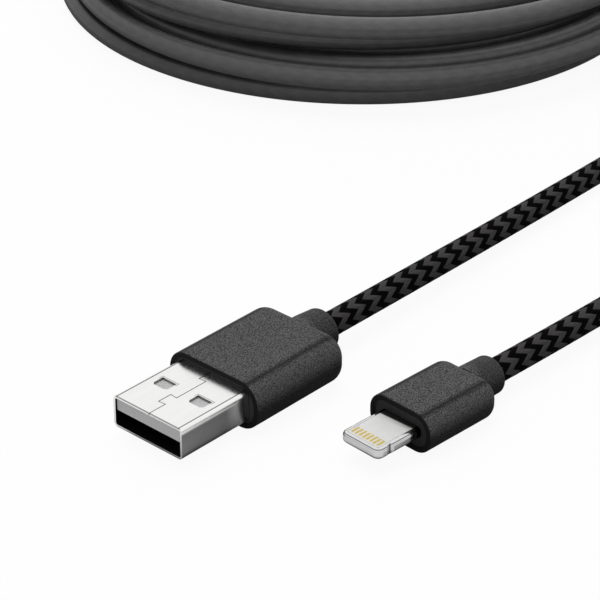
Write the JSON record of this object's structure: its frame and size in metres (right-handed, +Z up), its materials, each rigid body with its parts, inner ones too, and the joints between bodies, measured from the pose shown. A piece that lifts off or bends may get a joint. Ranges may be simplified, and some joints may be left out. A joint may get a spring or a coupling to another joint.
{
  "type": "charging cable",
  "caption": "Braided charging cable: flat folded-shell charger plug, small reversible phone plug, round black and grey cord in a loose coil.",
  "frame": {"origin": "on the floor under the middle of the charger plug", "axes": "+X along the charger plug towards its open end, +Y across the plug towards the phone plug, +Z up"},
  "size_m": [0.1872, 0.1625, 0.0157],
  "materials": {
    "shell_nickel": "bright nickel plate, fine drawn grain",
    "insulator_grey": "moulded light grey plastic",
    "contact_gilt": "thin gold plate",
    "solder": "bright solder",
    "wire_red": "insulated wire",
    "wire_white": "insulated wire",
    "wire_green": "insulated wire",
    "wire_black": "insulated wire",
    "crimp_brass": "pressed ring",
    "mould_black": "smooth black moulding",
    "housing_black": "fine speckled matt texture",
    "tab_metal": "satin nickel plate",
    "tab_insert": "smooth light grey moulding",
    "board_green": "solder mask",
    "chip_black": "moulded package",
    "capacitor_tan": "fired body",
    "shield_steel": "tinned sheet",
    "cord_braid": "black and grey braided sleeve"
  },
  "bodies": {
    "root": {"host_shell": "shell_nickel", "host_insulator": "insulator_grey", "host_contact_power": "contact_gilt", "host_contact_data_minus": "contact_gilt", "host_contact_data_plus": "contact_gilt", "host_contact_ground": "contact_gilt", "host_solder_joints": "solder", "host_wire_power": "wire_red", "host_wire_data_minus": "wire_white", "host_wire_data_plus": "wire_green", "host_wire_ground": "wire_black", "host_cable_end": "cord_braid", "host_crimp": "crimp_brass", "host_inner_mould": "mould_black", "host_housing": "housing_black", "phone_tab_frame": "tab_metal", "phone_tab_insert": "tab_insert", "phone_contacts_top": "contact_gilt", "phone_contacts_under": "contact_gilt", "phone_board": "board_green", "phone_control_chip": "chip_black", "phone_capacitors": "capacitor_tan", "phone_solder_joints": "solder", "phone_shield_upper": "shield_steel", "phone_shield_lower": "shield_steel", "phone_wire_power": "wire_red", "phone_wire_data_minus": "wire_white", "phone_wire_data_plus": "wire_green", "phone_wire_ground": "wire_black", "phone_cable_end": "cord_braid", "phone_crimp": "crimp_brass", "phone_inner_mould": "mould_black", "phone_housing": "housing_black", "cord_host_lead": "cord_braid", "cord_coil": "cord_braid", "cord_phone_lead": "cord_braid"}
  },
  "joints": []
}
